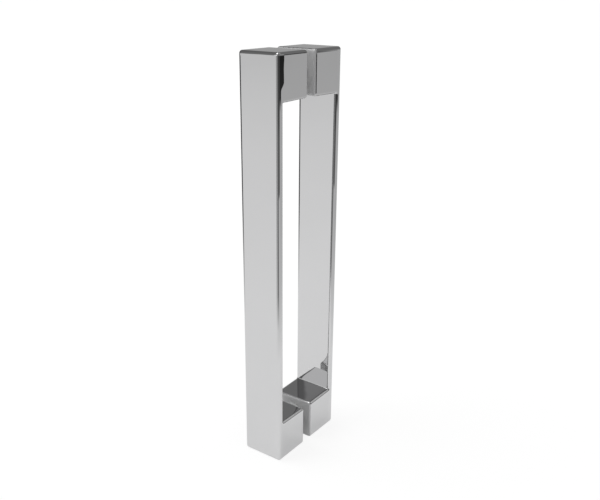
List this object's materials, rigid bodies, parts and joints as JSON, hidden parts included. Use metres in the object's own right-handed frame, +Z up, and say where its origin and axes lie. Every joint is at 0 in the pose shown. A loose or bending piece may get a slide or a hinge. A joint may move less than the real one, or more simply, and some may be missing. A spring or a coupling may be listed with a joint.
{
  "type": "shower door handle",
  "caption": "Back-to-back shower door handle: two flat-bar pulls with square legs, joined through the glass by studs, sleeves and gaskets.",
  "frame": {"origin": "on the middle plane of the door glass, midway across the handle, level with its bottom end", "axes": "+Z up along the pulls, +Y through the glass from the front pull to the rear pull, +X across the handle"},
  "size_m": [0.025, 0.0544, 0.227],
  "materials": {
    "polished_chrome": "mirror-polished chrome plate",
    "stud_steel": "turned stainless steel",
    "grub_steel": "plain stainless steel",
    "sleeve_nylon": "natural nylon",
    "gasket_rubber": "soft pale grey PVC"
  },
  "bodies": {
    "root": {"front_pull": "polished_chrome", "rear_pull": "polished_chrome", "top_stud": "stud_steel", "bottom_stud": "stud_steel", "top_grub_screw": "grub_steel", "bottom_grub_screw": "grub_steel", "top_sleeve": "sleeve_nylon", "bottom_sleeve": "sleeve_nylon", "top_front_gasket": "gasket_rubber", "top_rear_gasket": "gasket_rubber", "bottom_front_gasket": "gasket_rubber", "bottom_rear_gasket": "gasket_rubber"}
  },
  "joints": []
}
